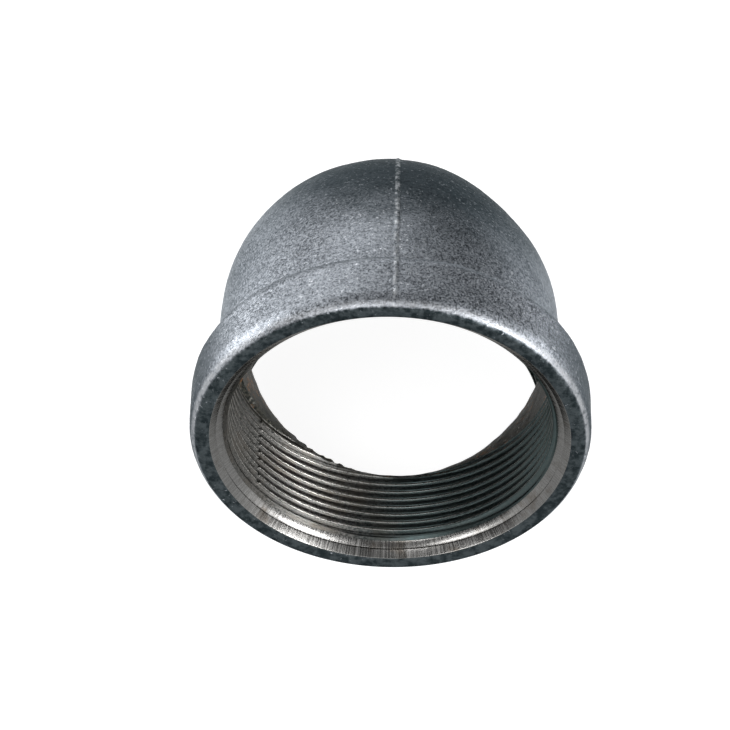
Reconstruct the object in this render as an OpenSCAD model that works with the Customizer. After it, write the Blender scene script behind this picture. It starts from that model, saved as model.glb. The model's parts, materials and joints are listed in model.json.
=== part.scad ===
// Equal 90 degree pipe elbow, malleable iron, 2 1/2 inch.
// One casting: a round bent body, a plain band round each end, an internal pipe thread in each
// port, and the low ridge that the mould's parting line leaves in the plane of the bend.
// Millimetres. The lower port's end face is centred on the origin and faces -Z.
// The front port faces -Y. The plane of the bend is x = 0.

/* [Overall] */
// distance from the crossing of the port axes to each end face
centre_to_end = 60; // [60:0.5:70]
// radius of the bend's centreline
bend_r = 41.5; // [40:0.25:41.75]
// outside diameter of the body between the bands
body_d = 78; // [77.5:0.5:80]
// diameter of the cast waterway through the bend
waterway_d = 71; // [68:0.5:71.5]

/* [Band] */
// outside diameter of the band round each end
band_d = 90; // [88:0.5:90.5]
// length of the band along the port
band_w = 16.4; // [12:0.4:16.4]
// radius of the band's front edge
front_edge_r = 3.6; // [1:0.2:4]
// radius of the band's rear edge
rear_edge_r = 4.2; // [4:0.2:5]

/* [Port] */
// diameter of the chamfered mouth at the end face
mouth_d = 80.5; // [78:0.1:81]
// depth of the outer mouth chamfer
mouth_depth = 1.6; // [1:0.1:1.8]
// diameter where the outer mouth chamfer ends
mouth_inner_d = 76.8; // [75.6:0.1:77.4]
// width of the small step at the bottom of the outer chamfer
mouth_step = 0.3; // [0.1:0.05:0.5]
// depth at which the first thread groove starts
thread_start = 2.7; // [2.4:0.1:3]

/* [Thread] */
// diameter at the thread's crests, nominal for an Rp 2 1/2 thread
thread_minor_d = 72.226; // [72.026:0.1:72.626]
// diameter at the thread's roots
thread_major_d = 75.184; // [74.784:0.1:75.584]
// distance between crests, 11 to the inch
thread_pitch = 2.309; // [2.209:0.01:2.309]
// number of grooves in each port
thread_turns = 8; // [6:1:8]
// half of the angle between a groove's flanks
thread_half_angle = 27.5; // [20:0.5:29]

/* [Parting line] */
// width of the parting-line ridge
ridge_w = 1.1; // [0.6:0.1:2]
// height of the ridge above the surface
ridge_h = 0.35; // [0.2:0.05:0.8]

/* [Hidden] */
body_r = body_d / 2;
band_r = band_d / 2;
water_r = waterway_d / 2;
minor_r = thread_minor_d / 2;
major_r = thread_major_d / 2;
leg_len = centre_to_end - bend_r;
// the fillet behind the band takes up what the rounded rear edge leaves of the step
rear_fillet_r = band_r - body_r - rear_edge_r;
// axial room taken by one flank of a groove
flank = (major_r - minor_r) * tan(thread_half_angle);
// flat left at the root of a groove, the same as the flat left at a crest
land = (thread_pitch - 2 * flank) / 2;
thread_end = thread_start + thread_turns * thread_pitch;
// the bored wall stops here and slopes in to the cast waterway
bore_end = thread_end + 0.4;
// drawn past a face or a joint between solids, so that cuts go clean through
over = 1;
ridge_root = 1.5;
arc_steps = 8;
iron = [0.55, 0.58, 0.60];

// points on an arc about (c, d), from angle a0 to a1
function arc(c, d, r, a0, a1) =
    [for (i = [0 : arc_steps])
        let (a = a0 + (a1 - a0) * i / arc_steps) [c + r * cos(a), d + r * sin(a)]];

// the outside of one leg as radius and distance from the end face, grown by g
function leg_outside(g) = concat(
    arc(band_r - front_edge_r, front_edge_r, front_edge_r + g, -90, 0),
    arc(band_r - rear_edge_r, band_w - rear_edge_r, rear_edge_r + g, 0, 90),
    [for (i = [arc_steps : -1 : 0])
        let (a = 180 + 90 * i / arc_steps)
        [body_r + rear_fillet_r + (rear_fillet_r - g) * cos(a),
         band_w + rear_fillet_r + (rear_fillet_r - g) * sin(a)]]);

// one groove of the thread, starting at distance z from the end face
function groove(z) = [
    [minor_r, z],
    [major_r, z + flank],
    [major_r, z + flank + land],
    [minor_r, z + 2 * flank + land]];

// one straight leg with its band, solid, end face at z = 0
module leg() {
    rotate_extrude($fn = 180)
        polygon(concat(
            [[0, 0]],
            leg_outside(0),
            [[body_r, leg_len], [0, leg_len]]));
}

// what the mouth and the thread take out of one leg
module port_cut() {
    rotate_extrude($fn = 180)
        polygon(concat(
            [[0, -over], [mouth_d / 2, -over], [mouth_d / 2, 0],
             [mouth_inner_d / 2, mouth_depth],
             [mouth_inner_d / 2 - mouth_step, mouth_depth + 0.1]],
            [for (k = [0 : thread_turns - 1]) each groove(thread_start + k * thread_pitch)],
            [[minor_r, bore_end], [minor_r - 2, bore_end + 0.6], [0, bore_end + 0.6]]));
}

// the parting ridge along one side of a leg
module leg_ridge(side) {
    rotate([0, 0, side * 90])
        rotate([90, 0, 0])
            linear_extrude(height = ridge_w, center = true)
                polygon(concat(
                    [for (p = leg_outside(ridge_h)) if (p[1] > front_edge_r * 0.4) p],
                    [[body_r + ridge_h, leg_len], [body_r - ridge_root, leg_len],
                     [body_r - ridge_root, front_edge_r + 1]]));
}

// a solid leg with the ridge on both sides
module ridged_leg() {
    leg();
    leg_ridge(1);
    leg_ridge(-1);
}

// puts what is drawn for the lower port at the front port
module at_front() {
    translate([0, -centre_to_end, centre_to_end])
        rotate([-90, 0, 0])
            children();
}

// a quarter turn of a ring whose section is drawn at the bend's radius
module quarter_bend() {
    translate([0, -bend_r, leg_len])
        rotate([90, 0, 90])
            rotate_extrude(angle = 90, $fn = 180)
                children();
}

// a round bar bent through the quarter turn
module bent_bar(r) {
    quarter_bend()
        translate([bend_r, 0])
            circle(r = r, $fn = 180);
}

// the parting ridge round the outside of the bend
module bend_ridge() {
    quarter_bend()
        translate([bend_r + body_r, 0])
            polygon([
                [-ridge_root, -ridge_w / 2],
                [ridge_h, -ridge_w / 2],
                [ridge_h, ridge_w / 2],
                [-ridge_root, ridge_w / 2]]);
}

// everything that the mould fills, before the hollow is taken out
module solid_elbow() {
    bent_bar(body_r);
    bend_ridge();
    ridged_leg();
    at_front() ridged_leg();
}

// the cast waterway with both cut ports
module hollow() {
    bent_bar(water_r);
    straight_water();
    at_front() straight_water();
    port_cut();
    at_front() port_cut();
}

// the straight run of the waterway that joins a port to the bend
module straight_water() {
    translate([0, 0, leg_len / 2])
        cylinder(r = water_r, h = leg_len / 2, $fn = 180);
}

module elbow_casting() {
    color(iron)
        difference() {
            solid_elbow();
            hollow();
        }
}

elbow_casting();
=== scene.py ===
# Galvanised 2 1/2 inch pipe elbow: the detailed visual model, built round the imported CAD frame.
# Metres, in the CAD frame: the lower port's end face is centred on the origin and faces -Z, the
# front port faces -Y, and the bend lies in the plane x = 0.
import json
import math
import bpy
import bmesh
import numpy as np
from mathutils import Vector, Matrix, noise


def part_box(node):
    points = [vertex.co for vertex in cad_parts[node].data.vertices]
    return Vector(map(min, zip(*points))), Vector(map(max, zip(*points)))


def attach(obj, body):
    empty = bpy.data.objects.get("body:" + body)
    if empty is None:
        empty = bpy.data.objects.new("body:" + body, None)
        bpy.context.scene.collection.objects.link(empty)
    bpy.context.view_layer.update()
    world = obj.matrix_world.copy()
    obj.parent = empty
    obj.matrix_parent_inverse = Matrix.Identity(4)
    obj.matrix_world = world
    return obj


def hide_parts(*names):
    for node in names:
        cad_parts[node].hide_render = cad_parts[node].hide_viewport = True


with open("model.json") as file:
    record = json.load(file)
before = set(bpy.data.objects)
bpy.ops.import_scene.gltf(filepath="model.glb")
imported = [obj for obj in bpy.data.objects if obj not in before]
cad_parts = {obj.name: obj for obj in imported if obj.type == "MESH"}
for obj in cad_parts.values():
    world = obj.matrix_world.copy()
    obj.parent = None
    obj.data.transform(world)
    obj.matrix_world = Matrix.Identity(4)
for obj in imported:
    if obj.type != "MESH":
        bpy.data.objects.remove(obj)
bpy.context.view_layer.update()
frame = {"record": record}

MM = 0.001
MOUNTS = {m["name"]: m for m in frame["record"]["mounts"]}
LOW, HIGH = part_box("elbow_casting")

# ---- sizes of the casting ----------------------------------------------------------------
END = MOUNTS["front_face"]["pos_m"][2]      # axes' crossing to each end face
BAND_R = (HIGH[0] - LOW[0]) / 2             # outside of the band
BAND_W = 16.4 * MM                          # length of the band along its port
BEND_R = 41.5 * MM                          # centreline of the bend
BODY_R = 39.0 * MM                          # outside of the body
WATER_R = 35.6 * MM                         # cast waterway
REAR_R = 4.2 * MM                           # band's rear edge
FILLET_R = BAND_R - BODY_R - REAR_R         # fillet behind the band
LEG = END - BEND_R                          # straight part, end face to bend
ARC = BEND_R * math.pi / 2                  # length of the bend's centreline
ROUTE = 2 * LEG + ARC                       # length of the whole centreline

# the band's front edge is two arcs: a tight one next to the end face, then a wide one
EDGE_TIGHT = 1.5 * MM
EDGE_WIDE = 5.0 * MM
EDGE_SWAP = math.radians(45)                # how far the edge has turned where they meet
EDGE_IN = EDGE_TIGHT * math.sin(EDGE_SWAP) + EDGE_WIDE * (1 - math.cos(EDGE_SWAP))
EDGE_LONG = EDGE_TIGHT * (1 - math.cos(EDGE_SWAP)) + EDGE_WIDE * math.sin(EDGE_SWAP)

# how this casting departs from the drawn shape
CORE_SHIFT = 1.0 * MM                       # to +X, as the sand core sat in the mould
BAND_DROP = 0.4 * MM                        # front band sits this much low on its port
DROP_LONG = 25 * MM                         # length of the bend over which the drop fades
LEAN = 0.7 * MM                             # bend's shift to -X
LEAN_START = 16 * MM                        # depth where the lean and the flats begin
LEAN_LONG = 24 * MM                         # length over which they reach their full size
SHOULDER_FLAT = 1.4 * MM                    # taken off the shoulder on the +X side
HEEL_FLAT = 0.6 * MM                        # taken off the outside of the bend
MOULD_STEP = 0.07 * MM                      # half of the step between the mould's halves
RIDGE_H = 0.30 * MM                         # parting-line flash
RIDGE_W = 0.50 * MM
RIDGE_X = 0.5 * MM                          # it stands a little off the middle

# ---- sizes of the cut ports --------------------------------------------------------------
MINOR_R = 36.113 * MM                       # thread crests
MAJOR_R = 37.592 * MM                       # thread roots
PITCH = 2.309 * MM
THREAD_TOP = 2.75 * MM                      # depth where the thread's cone begins
THREAD_END = 25.2 * MM                      # depth where the tap stopped
FADE_IN_FROM, FADE_IN_LONG = 2.2 * MM, 1.6 * MM   # the groove deepens below the mouth
FADE_OUT_LONG = 1.4 * PITCH                 # and runs out above the tap's stop
FLANK_ROOT, FLANK_CREST = 0.09, 0.43        # ends of a flank from the root's middle, in pitches
BEVEL_R = 37.35 * MM                        # where the inner bevel reaches the thread
BEVEL_SLOPE = 0.9
NICK_AT = 215.0                             # tap's nick, degrees round the front port
NICK_HALF = 0.4                             # degrees
NICK_DEEP = 0.4 * MM
# mouth, from the end face in, as (radius, depth) in millimetres: chamfer, small step, bevel
MOUTH = [(40.25, 0.0), (40.1, 0.1), (38.75, 1.35), (38.9, 1.42), (38.85, 1.66), (38.5, 1.78)]

# ---- camera, light and mesh --------------------------------------------------------------
CAMERA_ELEVATION = math.radians(48.2)
CAMERA_ROLL = math.radians(0.8)
CAMERA_DISTANCE = 0.90                      # from the front port's face
CAMERA_LENS = 199.6                         # millimetres, on a 36 mm sensor
AIM_RIGHT = -5.9 * MM                       # where the camera aims, from the front face's centre
AIM_UP = 16.9 * MM
# each light's place and size in metres, and its power in watts
LIGHTS = {
    "key": ((-0.22, -0.64, 0.70), (0.30, 0.30), 2.5),
    "left": ((-0.95, 0.20, 0.28), (0.6, 0.4), 6.0),
    "back": ((-0.42, 0.80, 0.70), (1.8, 0.5), 5.4),
    "right": ((0.90, 0.15, 0.25), (0.4, 0.3), 1.7),
    "port": ((0.72, -0.48, 0.48), (0.16, 0.16), 5.5),
    "front_right": ((0.44, -0.88, 0.12), (0.25, 0.20), 3.6),
    "front_left": ((-0.36, -0.90, 0.12), (0.25, 0.20), 1.3),
}
LIGHT_TARGET = (0, -0.02, 0.05)
FLOOR_HALF = 3
FLOOR_Z = -0.1 * MM                         # just clear of the lower end face

SKIN_STEP = 0.5 * MM                        # between rings of the outside
CORE_STEP = 0.62 * MM                       # between rings of the waterway
CORE_COLS = 370
CORE_START = 9 * MM                         # depth in each port where the waterway's solid ends
PHASES = (0.0, 0.07, 0.16, 0.29, 0.41, 0.5, 0.59, 0.71, 0.84, 0.93)   # rings in each turn
SHARP = math.radians(38)                    # an edge sharper than this is shaded as a corner
SHARP_THREAD = math.radians(75)             # and between two faces of the thread
SKIN, MOUTH_CUT, THREAD, CORE = range(4)    # material slots

X_AXIS = np.array([1.0, 0.0, 0.0])
# each port's frame: centre of its end face, the way in, and the way to the outside of the bend
FRONT = (np.array([0, -END, END]), np.array([0, 1.0, 0]), np.array([0, 0, 1.0]))
LOWER = (np.zeros(3), np.array([0, 0, 1.0]), np.array([0, 1.0, 0]))


# ---- small helpers -----------------------------------------------------------------------
def smooth(t):
    t = np.clip(t, 0.0, 1.0)
    return t * t * (3 - 2 * t)


def noise_at(points, size, seed):
    """Smooth noise from about -1 to 1, with features about `size` metres across."""
    k = 1.0 / size
    off = Vector((seed * 13.7, seed * 7.1, seed * 3.3))
    return np.array([noise.noise(Vector((p[0] * k, p[1] * k, p[2] * k)) + off) for p in points])


def section(s):
    """Centre and outward (heel) normal at distance s along the centreline, from the front end
    face to the lower one."""
    if s <= LEG:
        return np.array([0, -END + s, END]), np.array([0, 0, 1.0])
    if s >= LEG + ARC:
        d = s - LEG - ARC
        return np.array([0, 0, LEG - d]), np.array([0, 1.0, 0])
    a = (s - LEG) / BEND_R
    out = np.array([0, math.sin(a), math.cos(a)])
    return np.array([0, -BEND_R, LEG]) + BEND_R * out, out


def spokes(phi, out):
    """Unit vectors from a section's centre, at angles measured from +X towards the heel."""
    return np.cos(phi)[:, None] * X_AXIS + np.sin(phi)[:, None] * out


def column_angles():
    """Angles of the points round a section, closer together at the ridge."""
    fine = np.arange(-3.0, 3.001, 0.3)
    coarse_a = np.linspace(93.0, 267.0, 245)[1:-1]
    coarse_b = np.linspace(-87.0, 87.0, 245)[1:-1]
    a = np.concatenate([coarse_b, 90 + fine, coarse_a, 270 + fine])
    return np.radians(np.sort(a % 360.0))


PHI = column_angles()
COLS = len(PHI)


def grid_faces(rows, cols):
    """Quads of a closed tube of rows x cols vertices."""
    faces = []
    for r in range(rows - 1):
        a, b = r * cols, (r + 1) * cols
        for c in range(cols):
            d = (c + 1) % cols
            faces.append((a + c, a + d, b + d, b + c))
    return faces


def new_mesh(name, verts, faces, slots=None):
    me = bpy.data.meshes.new(name)
    me.from_pydata([tuple(v) for v in verts], [], faces)
    if slots:
        for _ in (SKIN, MOUTH_CUT, THREAD, CORE):
            me.materials.append(None)
        me.polygons.foreach_set("material_index", slots)
    me.update()
    return me


def add_object(name, data):
    ob = bpy.data.objects.new(name, data)
    bpy.context.scene.collection.objects.link(ob)
    return ob


def clean(me):
    bm = bmesh.new()
    bm.from_mesh(me)
    bmesh.ops.remove_doubles(bm, verts=bm.verts, dist=1e-6)
    bmesh.ops.dissolve_degenerate(bm, edges=bm.edges, dist=1e-7)
    bmesh.ops.recalc_face_normals(bm, faces=bm.faces)
    bm.to_mesh(me)
    bm.free()


# ---- outside of the casting --------------------------------------------------------------
def leg_profile():
    """Outside of one leg as (radius, distance from end face), from the end face to the bend."""
    pts = []
    for a in np.linspace(0, EDGE_SWAP, 7):
        pts.append((BAND_R - EDGE_IN + EDGE_TIGHT * math.sin(a), EDGE_TIGHT * (1 - math.cos(a))))
    for a in np.linspace(EDGE_SWAP, math.pi / 2, 9)[1:]:
        pts.append((BAND_R - EDGE_WIDE * (1 - math.sin(a)), EDGE_LONG - EDGE_WIDE * math.cos(a)))
    for z in np.arange(EDGE_LONG + SKIN_STEP, BAND_W - REAR_R, SKIN_STEP):
        pts.append((BAND_R, z))
    for a in np.radians(np.linspace(0, 90, 7)):
        pts.append((BAND_R - REAR_R + REAR_R * math.cos(a), BAND_W - REAR_R + REAR_R * math.sin(a)))
    for a in np.radians(np.linspace(270, 180, 6)[1:]):
        pts.append((BODY_R + FILLET_R + FILLET_R * math.cos(a),
                    BAND_W + FILLET_R + FILLET_R * math.sin(a)))
    for z in np.arange(BAND_W + FILLET_R + SKIN_STEP, LEG - 0.3 * SKIN_STEP, SKIN_STEP):
        pts.append((BODY_R, z))
    return pts


def outer_rows():
    """(radius, distance along the centreline) for every ring of the outside."""
    leg = leg_profile()
    count = int((BEND_R + BODY_R * 0.8) * math.pi / 2 / SKIN_STEP)
    rows = list(leg)
    rows += [(BODY_R, LEG + ARC * k / count) for k in range(count + 1)]
    rows += [(r, ROUTE - z) for r, z in reversed(leg)]
    return rows


def outer_grid():
    """Points of the smooth outside, their normals and their distances along the centreline."""
    pts, radial, along = [], [], []
    for r, s in outer_rows():
        centre, out = section(s)
        d = spokes(PHI, out)
        pts.append(centre + r * d)
        radial.append(d)
        along.append(np.full(COLS, s))
    pts = np.array(pts)
    # true normals of the grid, from its neighbours
    du = np.gradient(pts, axis=0)
    dv = np.roll(pts, -1, 1) - np.roll(pts, 1, 1)
    n = np.cross(dv, du)
    n /= np.linalg.norm(n, axis=2)[..., None] + 1e-12
    n *= np.sign((n * np.array(radial)).sum(2) + 1e-9)[..., None]
    n[0] = -FRONT[1]
    n[-1] = -LOWER[1]
    return pts.reshape(-1, 3), n.reshape(-1, 3), np.array(along).reshape(-1)


def cast_relief(p, skin):
    """Height of the sand-cast skin over the smooth outside, where skin is 1."""
    wave = 0.14 * noise_at(p, 14 * MM, 1) + 0.06 * noise_at(p, 4.5 * MM, 2)
    grain = 0.05 * noise_at(p, 1.15 * MM, 3) - 0.16
    h = (wave + grain) * MM * skin
    # the two mould halves don't quite meet
    x = p[:, 0]
    h -= MOULD_STEP * np.tanh(x / (0.35 * MM)) * np.exp(-(x / (9 * MM)) ** 2) * skin
    # the flash along the parting line, uneven in height and slightly wandering
    wander = 0.22 * MM * noise_at(p, 11 * MM, 5)
    uneven = 0.75 + 0.55 * noise_at(p, 2.3 * MM, 6) + 0.3 * noise_at(p, 6 * MM, 7)
    flash = np.exp(-((x - RIDGE_X - wander) / RIDGE_W) ** 2)
    h += RIDGE_H * np.clip(uneven, 0.15, 1.5) * flash * skin
    return h


def outside():
    """Points of the casting's outside, ring by ring."""
    drawn, n, along = outer_grid()
    # the flat end faces stay flat, and the sand-cast skin starts on the rounded edge
    from_end = np.minimum(along, ROUTE - along)
    skin = smooth(from_end / (0.8 * EDGE_LONG))
    p = drawn + n * cast_relief(drawn, skin)[:, None]
    # the bend is a little flat on one shoulder, and leans the other way
    lean = smooth((from_end - LEAN_START) / LEAN_LONG)
    angle = np.tile(np.degrees(PHI), len(p) // COLS)
    shoulder = SHOULDER_FLAT * np.exp(-((angle - 48) / 27) ** 2)
    heel = HEEL_FLAT * np.exp(-((angle - 95) / 40) ** 2)
    p -= n * ((shoulder + heel) * lean)[:, None]
    p[:, 0] -= LEAN * lean * (1 - np.exp(-(drawn[:, 0] / (12 * MM)) ** 2))
    p[:, 2] -= BAND_DROP * smooth((LEG + DROP_LONG - along) / DROP_LONG)
    return p


# ---- the cut ports -----------------------------------------------------------------------
def thread_depth(f):
    """How deep the groove is, 0 at the crest's flat and 1 at the root, at fraction f of a pitch."""
    from_root = np.abs((f % 1.0) - 0.5)
    flank = np.clip((FLANK_CREST - from_root) / (FLANK_CREST - FLANK_ROOT), 0, 1)
    return smooth(flank) * 0.35 + flank * 0.65


def port_radius(z, phi, hand):
    """Radius of the cut port at depth z and angle phi."""
    bevel = np.maximum(MINOR_R, BEVEL_R - (z - THREAD_TOP) * BEVEL_SLOPE)
    fade_in = np.clip((z - FADE_IN_FROM) / FADE_IN_LONG, 0.25, 1)
    fade_out = np.clip((THREAD_END - z) / FADE_OUT_LONG, 0, 1)
    depth = thread_depth(z / PITCH - hand * phi / (2 * math.pi)) * fade_in * fade_out
    groove = MINOR_R + (MAJOR_R - MINOR_R) * depth
    # the tap has left a nick straight down the crests of the front port, whose hand is -1
    nick = (hand < 0) & (np.abs(np.degrees(phi) - NICK_AT) < NICK_HALF)
    groove = np.maximum(groove, np.where(nick, MINOR_R + NICK_DEEP, 0))
    return np.maximum(bevel, groove)


def port_ring(port, r, z):
    """Ring of points at radius r and depth z, each one number or one for every angle."""
    origin, inward, out = port
    r = np.broadcast_to(r, (COLS,))
    z = np.broadcast_to(z, (COLS,))
    return origin + z[:, None] * inward + r[:, None] * spokes(PHI, out)


def thread_faces(first, last, hand):
    """Faces between the threaded rings. The last column joins the next turn's first column."""
    shift = hand * len(PHASES)
    faces = []
    for a in range(first, last):
        b = a + 1
        for c in range(COLS - 1):
            faces.append((a * COLS + c, a * COLS + c + 1, b * COLS + c + 1, b * COLS + c))
        a2 = min(max(a + shift, first), last)
        b2 = min(max(b + shift, first), last)
        if a2 == b2:
            faces.append((b * COLS - 1, a2 * COLS, b * COLS + COLS - 1))
        else:
            faces.append((b * COLS - 1, a2 * COLS, b2 * COLS, b * COLS + COLS - 1))
    return faces


def port_cutter(name, port, hand):
    """Closed solid with the shape that the mouth and the thread take out of a port. hand is 1
    where the angles run clockwise as seen from outside, else -1, so both threads are right-hand."""
    rings = [port_ring(port, r * MM, z * MM) for r, z in MOUTH]
    first = len(rings)
    start = THREAD_TOP if hand > 0 else THREAD_TOP + PITCH
    turns = int((THREAD_END - THREAD_TOP) / PITCH) + 3
    for k in range(-1, turns):
        for phase in PHASES:
            z = start + PITCH * (k + phase) + hand * PITCH * PHI / (2 * math.pi)
            z = np.clip(z, THREAD_TOP, THREAD_END)
            rings.append(port_ring(port, port_radius(z, PHI, hand), z))
    last = len(rings) - 1
    faces = grid_faces(first + 1, COLS)
    slots = [MOUTH_CUT] * len(faces)
    faces += thread_faces(first, last, hand)
    slots += [THREAD] * (len(faces) - len(slots))
    faces.append(tuple(range(COLS))[::-1])
    faces.append(tuple(last * COLS + c for c in range(COLS)))
    slots += [MOUTH_CUT, CORE]
    me = new_mesh(name, np.concatenate(rings), faces, slots)
    clean(me)
    return add_object(name, me)


# ---- the cast waterway and the whole hollow ------------------------------------------------
def core_relief(p, d):
    """Height of the rough core skin in millimetres, at points p with outward directions d."""
    h = 0.22 * noise_at(p, 9 * MM, 11) + 0.10 * noise_at(p, 3 * MM, 12) + 0.05 * noise_at(p, 1.6 * MM, 13)
    # sand grains and slag left standing on the left of the throat
    lump = np.clip(noise_at(p, 1.6 * MM, 14) - 0.10, 0, 1) * 1.1
    place = np.exp(-((p[:, 0] + 15 * MM) / (8 * MM)) ** 2) * (d[:, 1] < 0) * (d[:, 2] < 0)
    return h - lump * place


def waterway(name):
    """Closed solid of the cast waterway, rough as a sand core leaves it."""
    length = ROUTE - 2 * CORE_START
    rows = int(length / CORE_STEP)
    phi = np.linspace(0, 2 * math.pi, CORE_COLS, endpoint=False)
    pts, dirs = [], []
    for k in range(rows + 1):
        centre, out = section(CORE_START + length * k / rows)
        d = spokes(phi, out)
        shift = CORE_SHIFT * smooth(min(k, rows - k) / (0.2 * rows)) * X_AXIS
        pts.append(centre + shift + WATER_R * d)
        dirs.append(d)
    p = np.array(pts).reshape(-1, 3)
    d = np.array(dirs).reshape(-1, 3)
    p = p + d * (core_relief(p, d) * MM)[:, None]
    faces = grid_faces(rows + 1, CORE_COLS)
    faces.append(tuple(range(CORE_COLS))[::-1])
    faces.append(tuple(rows * CORE_COLS + c for c in range(CORE_COLS)))
    me = new_mesh(name, p, faces, [CORE] * len(faces))
    clean(me)
    return add_object(name, me)


def joined_hollow():
    """The whole hollow as one closed solid: both cut ports and the waterway."""
    front = port_cutter("cut_front", FRONT, -1)
    lower = port_cutter("cut_lower", LOWER, 1)
    water = waterway("waterway")
    for other in (front, lower):
        mod = water.modifiers.new("join", "BOOLEAN")
        mod.operation = "UNION"
        mod.solver = "EXACT"
        mod.object = other
    graph = bpy.context.evaluated_depsgraph_get()
    me = bpy.data.meshes.new_from_object(water.evaluated_get(graph))
    for ob in (front, lower, water):
        bpy.data.objects.remove(ob)
    return me


# ---- the finished mesh ---------------------------------------------------------------------
def open_hollow(bm):
    """Makes the closed hollow an inner wall: takes its two end caps off and turns it inside out."""
    tiny = 1e-5
    caps = [f for f in bm.faces
            if all(abs(v.co.z) < tiny for v in f.verts) or all(abs(v.co.y + END) < tiny for v in f.verts)]
    bmesh.ops.delete(bm, geom=caps, context="FACES_ONLY")
    bmesh.ops.recalc_face_normals(bm, faces=bm.faces)
    for f in bm.faces:
        f.normal_flip()


def add_end_ring(bm, outer, port):
    """Flat ring of an end face, from the outside's first or last ring to the mouth."""
    origin, _, out = port
    mouth_r = MOUTH[0][0] * MM
    inner = [bm.verts.new(origin + mouth_r * d) for d in spokes(PHI, out)]
    for c in range(COLS):
        d = (c + 1) % COLS
        bm.faces.new((outer[c], outer[d], inner[d], inner[c]))


def set_shading(bm):
    """Machined corners are crisp, but the thread's crests are slightly rounded."""
    for e in bm.edges:
        cut = all(f.material_index == THREAD for f in e.link_faces)
        e.smooth = e.calc_face_angle(0) < (SHARP_THREAD if cut else SHARP)
    for f in bm.faces:
        f.smooth = True


def elbow_mesh():
    """Outside, end faces and hollow as one closed mesh."""
    skin = outside()
    bm = bmesh.new()
    bm.from_mesh(joined_hollow())
    open_hollow(bm)
    vs = [bm.verts.new(p) for p in skin]
    for f in grid_faces(len(skin) // COLS, COLS):
        bm.faces.new([vs[i] for i in f])
    add_end_ring(bm, vs[:COLS], FRONT)
    add_end_ring(bm, vs[-COLS:], LOWER)
    bmesh.ops.remove_doubles(bm, verts=bm.verts, dist=4e-6)
    bmesh.ops.recalc_face_normals(bm, faces=bm.faces)
    set_shading(bm)
    me = bpy.data.meshes.new("elbow")
    bm.to_mesh(me)
    bm.free()
    return me


def port_coordinates(me):
    """Stores each vertex's place in its nearest port's own frame: across, up, and depth."""
    co = np.empty(len(me.vertices) * 3, np.float32)
    me.vertices.foreach_get("co", co)
    co = co.reshape(-1, 3)
    front = np.stack([co[:, 0], co[:, 2] - END, co[:, 1] + END], 1)
    nearer = (front[:, 2] < co[:, 2])[:, None]
    port = np.where(nearer, front, co).astype(np.float32)
    me.attributes.new("port", "FLOAT_VECTOR", "POINT").data.foreach_set("vector", port.ravel())


# ---- camera, floor and light ---------------------------------------------------------------
def place_camera():
    """Camera in the plane of the bend, looking down into the front port."""
    face = Vector((0, -END, END))
    back = Vector((0, -math.cos(CAMERA_ELEVATION), math.sin(CAMERA_ELEVATION)))
    right = Vector((1, 0, 0))
    up = back.cross(right)
    place = face + back * CAMERA_DISTANCE
    aim = face + right * AIM_RIGHT + up * AIM_UP
    turn = (aim - place).to_track_quat("-Z", "Y").to_matrix() @ Matrix.Rotation(CAMERA_ROLL, 3, "Z")
    data = bpy.data.cameras.new("camera")
    data.sensor_width = 36.0
    data.lens = CAMERA_LENS
    data.clip_start = 0.01
    camera = add_object("camera", data)
    camera.matrix_world = Matrix.Translation(place) @ turn.to_4x4()
    bpy.context.scene.camera = camera


def add_floor():
    """Plain pale floor, lit up a little so that it is nearly white."""
    corners = [(-FLOOR_HALF, -FLOOR_HALF, FLOOR_Z), (FLOOR_HALF, -FLOOR_HALF, FLOOR_Z),
               (FLOOR_HALF, FLOOR_HALF, FLOOR_Z), (-FLOOR_HALF, FLOOR_HALF, FLOOR_Z)]
    me = new_mesh("floor", corners, [(0, 1, 2, 3)])
    ob = add_object("floor", me)
    mat = bpy.data.materials.new("floor")
    mat.use_nodes = True
    b = mat.node_tree.nodes["Principled BSDF"]
    b.inputs["Base Color"].default_value = (0.36, 0.362, 0.365, 1)
    b.inputs["Roughness"].default_value = 0.9
    b.inputs["Specular IOR Level"].default_value = 0.1
    b.inputs["Emission Color"].default_value = (1, 1, 1, 1)
    b.inputs["Emission Strength"].default_value = 0.93
    me.materials.append(mat)


def area_light(name, place, size, power):
    data = bpy.data.lights.new(name, "AREA")
    data.shape = "ELLIPSE"
    data.size, data.size_y = size
    data.energy = power
    ob = add_object(name, data)
    ob.location = place
    ob.rotation_euler = (Vector(LIGHT_TARGET) - Vector(place)).to_track_quat("-Z", "Y").to_euler()
    ob.visible_camera = False


def add_lights():
    for name, (place, size, power) in LIGHTS.items():
        area_light(name, place, size, power)
    world = bpy.data.worlds.new("world")
    world.use_nodes = True
    background = world.node_tree.nodes["Background"]
    background.inputs["Color"].default_value = (0.80, 0.86, 0.90, 1)
    background.inputs["Strength"].default_value = 0.08
    bpy.context.scene.world = world


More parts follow.
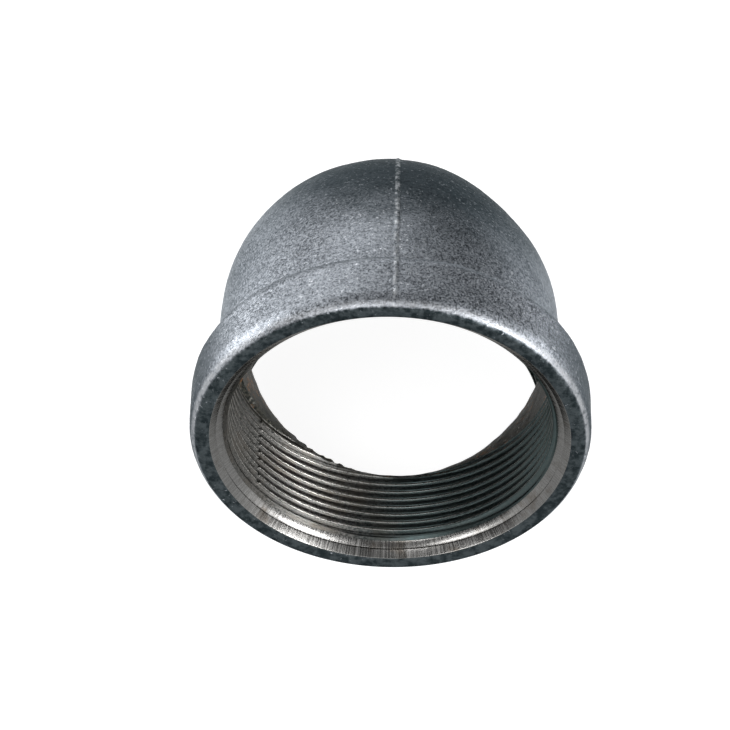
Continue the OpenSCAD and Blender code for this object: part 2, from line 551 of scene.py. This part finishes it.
# ---- materials -----------------------------------------------------------------------------
class Shader:
    """Short names for the nodes that every material here uses. Sizes of patterns are in
    millimetres, colours are (red, green, blue, 1), and depth, radius and across are in metres."""

    def __init__(self, name):
        self.mat = bpy.data.materials.new(name)
        self.mat.use_nodes = True
        self.tree = self.mat.node_tree
        self.bsdf = self.tree.nodes["Principled BSDF"]
        self.place = self.node("ShaderNodeTexCoord").outputs["Object"]
        port = self.node("ShaderNodeAttribute")
        port.attribute_name = "port"
        self.across, up, self.depth = self.split(port.outputs["Vector"])
        self.sideways = self.math("ABSOLUTE", self.across)
        flat = self.node("ShaderNodeCombineXYZ")
        self.link(self.across, flat.inputs[0])
        self.link(up, flat.inputs[1])
        self.radius = self.vector("LENGTH", flat.outputs[0])
        self.around = self.vector("NORMALIZE", flat.outputs[0])

    def node(self, kind):
        return self.tree.nodes.new(kind)

    def link(self, a, b):
        self.tree.links.new(a, b)

    def put(self, socket, value):
        if isinstance(value, bpy.types.NodeSocket):
            self.link(value, socket)
        else:
            socket.default_value = value

    def math(self, op, a, b=0.0, c=0.0):
        n = self.node("ShaderNodeMath")
        n.operation = op
        for socket, value in zip(n.inputs, (a, b, c)):
            self.put(socket, value)
        return n.outputs[0]

    def times(self, a, b):
        return self.math("MULTIPLY", a, b)

    def vector(self, op, a, b=(0, 0, 0)):
        n = self.node("ShaderNodeVectorMath")
        n.operation = op
        self.link(a, n.inputs[0])
        n.inputs[1].default_value = b
        return n.outputs["Value" if op in ("LENGTH", "DOT_PRODUCT") else "Vector"]

    def split(self, vector):
        n = self.node("ShaderNodeSeparateXYZ")
        self.link(vector, n.inputs[0])
        return n.outputs

    def noise(self, size_mm, detail=3.0, vector=None, rough=0.6):
        n = self.node("ShaderNodeTexNoise")
        n.inputs["Scale"].default_value = 1000.0 / size_mm
        n.inputs["Detail"].default_value = detail
        n.inputs["Roughness"].default_value = rough
        self.link(vector or self.place, n.inputs["Vector"])
        return n.outputs["Fac"]

    def cells(self, size_mm):
        """A random value from 0 to 1 for each small cell."""
        v = self.node("ShaderNodeTexVoronoi")
        v.inputs["Scale"].default_value = 1000.0 / size_mm
        self.link(self.place, v.inputs["Vector"])
        n = self.node("ShaderNodeSeparateColor")
        self.link(v.outputs["Color"], n.inputs[0])
        return n.outputs[0]

    def rings(self, size_mm):
        """Fine lines that run round the port, as a turning tool or a tap leaves them."""
        n = self.node("ShaderNodeCombineXYZ")
        self.link(self.radius, n.inputs[0])
        self.link(self.depth, n.inputs[1])
        return self.noise(size_mm, 3.0, n.outputs[0], 0.7)

    def step(self, value, low, high, out_low=0.0, out_high=1.0):
        n = self.node("ShaderNodeMapRange")
        n.interpolation_type = "SMOOTHSTEP"
        for socket, v in zip(n.inputs, (value, low, high, out_low, out_high)):
            self.put(socket, v)
        return n.outputs[0]

    def mix(self, fac, a, b):
        n = self.node("ShaderNodeMix")
        n.data_type = "RGBA"
        self.put(n.inputs[0], fac)
        self.put(n.inputs[6], a)
        self.put(n.inputs[7], b)
        return n.outputs[2]

    def cover(self, under, mask, share, colour):
        """Lays a colour over what is under it, by its share where the mask is 1."""
        return self.mix(self.times(mask, share), under, colour)

    def bump(self, height, distance_mm, strength=1.0, after=None):
        n = self.node("ShaderNodeBump")
        n.inputs["Strength"].default_value = strength
        n.inputs["Distance"].default_value = distance_mm * MM
        self.link(height, n.inputs["Height"])
        if after:
            self.link(after, n.inputs["Normal"])
        return n.outputs["Normal"]

    def finish(self, colour, rough, normal, metallic):
        self.put(self.bsdf.inputs["Base Color"], colour)
        self.put(self.bsdf.inputs["Roughness"], rough)
        self.link(normal, self.bsdf.inputs["Normal"])
        self.bsdf.inputs["Metallic"].default_value = metallic
        return self.mat


def painted_shade_heel_and_sides(s, zinc, x):
    """Painted shade: darkens the zinc on the outside of the bend and on the outermost sides of the bands.
    """
    toward_heel = s.vector("DOT_PRODUCT", s.place, (0.20, 0.7071, 0.7071))
    heel = s.math("MULTIPLY_ADD", s.noise(9.0, 3.0), 12 * MM, toward_heel)
    # painted shade on the outside of the bend
    zinc = s.cover(zinc, s.step(heel, 46 * MM, 66 * MM), 0.82, (0.019, 0.030, 0.034, 1))
    # painted shade on the outermost sides of the bands
    side = s.step(s.math("ABSOLUTE", x), 32 * MM, 44 * MM)
    side = s.times(side, s.step(s.depth, BAND_W + 1 * MM, BAND_W - 3 * MM))
    return s.cover(zinc, side, 0.72, (0.030, 0.036, 0.040, 1))


def rubbed_and_edge_highlight(s, zinc, x):
    """Zinc polished bright by wear along the parting line; on the front edge, wear from handling together
    with a painted highlight, strongest next to the end face.
    """
    off = s.math("ABSOLUTE", s.math("SUBTRACT", x, RIDGE_X))
    line = s.times(s.step(off, 0.75 * MM, 0.25 * MM), s.step(s.noise(1.4, 3.0), 0.40, 0.68))
    line = s.times(line, s.step(s.depth, 8 * MM, 20 * MM, 0.75, 0.85))
    zinc = s.mix(line, zinc, (0.66, 0.68, 0.70, 1))
    # front edge: wear and a painted highlight, in a narrow band next to the end face
    edge_wear_and_highlight = s.times(s.step(s.depth, 0.3 * MM, 0.7 * MM), s.step(s.depth, 2.2 * MM, 1.1 * MM))
    edge_wear_and_highlight = s.times(edge_wear_and_highlight, s.step(s.noise(1.4, 3.0), 0.24, 0.56))
    return s.cover(zinc, edge_wear_and_highlight, 0.4, (0.62, 0.63, 0.65, 1))


def painted_shade_face(s):
    """Colour of the machined end face: near-black as painted shade, with a few bright flecks."""
    fleck = s.times(s.step(s.noise(0.7, 3.0), 0.65, 0.76), s.step(s.noise(7.0), 0.45, 0.6))
    # painted shade: the face is painted near-black
    dark_face = s.mix(s.step(s.noise(1.6, 4.0), 0.35, 0.65), (0.012, 0.017, 0.019, 1), (0.046, 0.055, 0.059, 1))
    return s.mix(fleck, dark_face, (0.36, 0.38, 0.41, 1))


def skin_material():
    """Hot-dip zinc on sand-cast iron: blue-grey, grainy and full of small bright crystals. The
    end face is cut, and painted near-black as painted shade."""
    s = Shader("galvanised_skin")
    x = s.split(s.place)[0]
    grain = s.noise(0.42, 2.0)
    sand = s.noise(0.85, 3.0)
    cloud = s.times(s.noise(16.0, 4.0), 0.15)
    tone = s.math("MULTIPLY_ADD", grain, 0.52, s.math("MULTIPLY_ADD", sand, 0.33, cloud))
    zinc = s.mix(s.step(tone, 0.34, 0.66), (0.080, 0.090, 0.102, 1), (0.50, 0.53, 0.575, 1))
    # painted shade on the outside of the bend and on the sides of the bands
    zinc = painted_shade_heel_and_sides(s, zinc, x)
    spark = s.times(s.step(s.cells(0.42), 0.88, 0.97), s.step(sand, 0.45, 0.60))
    zinc = s.cover(zinc, spark, 0.5, (0.66, 0.68, 0.71, 1))
    # wear along the parting line; wear and a painted highlight on the front edge
    zinc = rubbed_and_edge_highlight(s, zinc, x)
    edge = s.math("MULTIPLY_ADD", s.noise(1.6, 3.0), 0.5 * MM, s.depth)
    # painted shade: the end face, up to a ragged edge, is painted near-black
    colour = s.mix(s.step(edge, 0.85 * MM, 0.40 * MM), zinc, painted_shade_face(s))
    rough = s.math("SUBTRACT", s.step(grain, 0.3, 0.7, 0.34, 0.58), s.times(spark, 0.14))
    normal = s.bump(s.rings(0.35), 0.02, 0.3)
    normal = s.bump(grain, 0.075, 0.9, normal)
    normal = s.bump(sand, 0.13, 0.6, normal)
    s.bsdf.inputs["Specular Tint"].default_value = (0.27, 0.30, 0.31, 1)
    return s.finish(colour, rough, normal, 0.88)


def mouth_material():
    """Freshly chamfered iron: bright, with the cutter's marks across the chamfer, and painted
    shade on both sides of the mouth."""
    s = Shader("chamfered_mouth")
    marks = s.noise(0.36, 3.0, s.vector("MULTIPLY", s.around, (MAJOR_R, MAJOR_R, MAJOR_R)), 0.7)
    fine = s.noise(0.4, 3.0)
    colour = s.mix(s.step(marks, 0.35, 0.65), (0.205, 0.20, 0.193, 1), (0.31, 0.305, 0.297, 1))
    colour = s.cover(colour, s.step(fine, 0.5, 0.7), 0.5, (0.12, 0.11, 0.10, 1))
    colour = s.cover(colour, s.step(s.noise(5.0, 4.0), 0.52, 0.70), 0.7, (0.12, 0.10, 0.08, 1))
    # painted shade: the mouth is darkened at both sides, away from its top and bottom
    painted_side_shade = s.step(s.math("MULTIPLY_ADD", s.noise(6.0, 3.0), 8 * MM, s.sideways), 26 * MM, 40 * MM)
    colour = s.cover(colour, painted_side_shade, 0.62, (0.040, 0.042, 0.042, 1))
    rough = s.step(marks, 0.3, 0.7, 0.20, 0.32)
    normal = s.bump(marks, 0.05, 0.09)
    normal = s.bump(s.rings(0.3), 0.03, 0.5, normal)
    normal = s.bump(fine, 0.03, 0.4, normal)
    s.bsdf.inputs["Specular Tint"].default_value = (0.30, 0.30, 0.29, 1)
    return s.finish(colour, rough, normal, 1.0)


def thread_material():
    """Cut thread: a painted highlight on the crests, painted shade in the roots, and fine lines along
    the thread. Cutting oil has left brownish patches, and painted shade darkens one side of the port and,
    less, the other."""
    s = Shader("cut_thread")
    lines = s.rings(0.16)
    fine = s.noise(0.45, 3.0)
    colour = s.mix(s.step(fine, 0.36, 0.66), (0.050, 0.053, 0.051, 1), (0.155, 0.151, 0.144, 1))
    colour = s.mix(s.step(s.noise(7.0, 4.0), 0.42, 0.68), colour, (0.09, 0.08, 0.068, 1))
    colour = s.cover(colour, s.step(lines, 0.45, 0.7), 0.35, (0.25, 0.24, 0.225, 1))
    # painted highlight: the crests are painted bright
    crest = s.step(s.radius, MINOR_R + 0.14 * MM, MINOR_R + 0.06 * MM)
    colour = s.cover(colour, s.times(crest, s.step(fine, 0.28, 0.50)), 0.9, (0.80, 0.78, 0.74, 1))
    patchy = s.times(s.noise(8.0, 3.0), 14 * MM)
    # painted shade: the +X side of the port is darkened
    painted_shade_plus_x = s.step(s.math("ADD", patchy, s.across), -6 * MM, 14 * MM)
    colour = s.cover(colour, painted_shade_plus_x, 0.75, (0.030, 0.050, 0.052, 1))
    # painted shade, weaker: the -X side of the port is darkened
    painted_shade_minus_x = s.step(s.math("SUBTRACT", patchy, s.across), 24 * MM, 40 * MM)
    colour = s.cover(colour, painted_shade_minus_x, 0.45, (0.040, 0.039, 0.036, 1))
    # painted shade: the roots of the groove are painted dark
    root = s.step(s.radius, MAJOR_R - 0.42 * MM, MAJOR_R - 0.08 * MM)
    colour = s.cover(colour, root, 0.45, (0.02, 0.026, 0.026, 1))
    rough = s.step(fine, 0.3, 0.7, 0.28, 0.48)
    normal = s.bump(lines, 0.03, 0.5)
    normal = s.bump(fine, 0.04, 0.6, normal)
    s.bsdf.inputs["Specular Tint"].default_value = (0.30, 0.31, 0.30, 1)
    return s.finish(colour, rough, normal, 0.95)


def core_material():
    """Inside as cast: dark and rough, with rust and a few bright grains."""
    s = Shader("rough_core")
    grain = s.noise(0.7, 4.0)
    colour = s.mix(s.step(grain, 0.35, 0.7), (0.018, 0.022, 0.020, 1), (0.13, 0.125, 0.105, 1))
    rust = s.times(s.step(s.noise(6.0, 3.0), 0.48, 0.66), s.step(s.noise(1.1, 3.0), 0.5, 0.6))
    colour = s.mix(rust, colour, (0.26, 0.13, 0.06, 1))
    bright = s.times(s.step(s.cells(0.8), 0.95, 0.99), s.step(grain, 0.45, 0.6))
    colour = s.mix(bright, colour, (0.34, 0.335, 0.31, 1))
    rough = s.step(grain, 0.3, 0.7, 0.45, 0.75)
    normal = s.bump(grain, 0.25, 0.9)
    return s.finish(colour, rough, normal, 0.7)


# ---- the scene -----------------------------------------------------------------------------
bpy.context.scene.view_settings.view_transform = "Standard"
place_camera()
add_floor()
add_lights()
body = add_object("elbow_casting_skin", elbow_mesh())
port_coordinates(body.data)
for material in (skin_material(), mouth_material(), thread_material(), core_material()):
    body.data.materials.append(material)
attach(body, "root")
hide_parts("elbow_casting")
